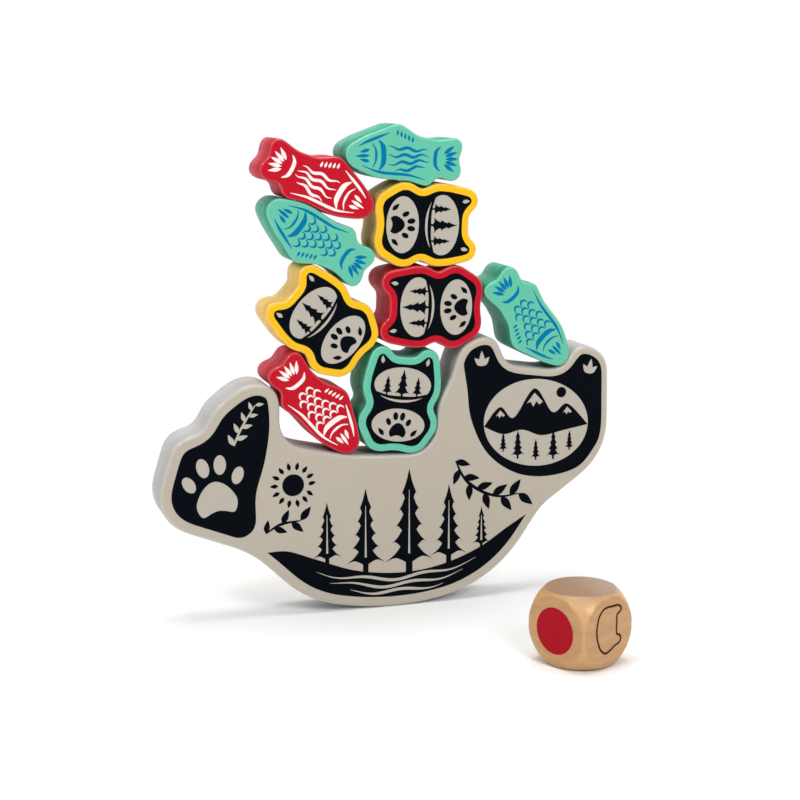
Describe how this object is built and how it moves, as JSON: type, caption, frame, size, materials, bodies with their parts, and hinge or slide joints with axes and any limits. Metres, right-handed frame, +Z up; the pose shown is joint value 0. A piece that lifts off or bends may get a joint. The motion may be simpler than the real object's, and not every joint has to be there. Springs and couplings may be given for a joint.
{
  "type": "stacking balance game",
  "caption": "Wooden stacking balance game: a bear base that rocks on its curved back, bear cubs and fish piled up in its lap, and a die.",
  "frame": {"origin": "on the table under the lowest line of the rocker, halfway through the thickness of the base", "axes": "+X along the base from its feet to its head, +Y from the front with the print to the back, +Z up"},
  "size_m": [0.1994, 0.1277, 0.2061],
  "materials": {
    "base_paint": "satin paint in warm grey beige on smooth wood, with a dark print on the front",
    "mint_paint": "satin mint green paint on smooth wood",
    "red_paint": "satin red paint on smooth wood",
    "yellow_paint": "satin yellow paint on smooth wood",
    "bare_wood": "clear satin lacquer on light wood"
  },
  "bodies": {
    "root": {"bear_base": "base_paint", "cub_mint": "mint_paint", "cub_red": "red_paint", "cub_yellow_top": "yellow_paint", "cub_yellow_side": "yellow_paint", "fish_red_low": "red_paint", "fish_mint_right": "mint_paint", "fish_mint_left": "mint_paint", "fish_red_top": "red_paint", "fish_mint_top": "mint_paint", "die": "bare_wood"}
  },
  "joints": []
}
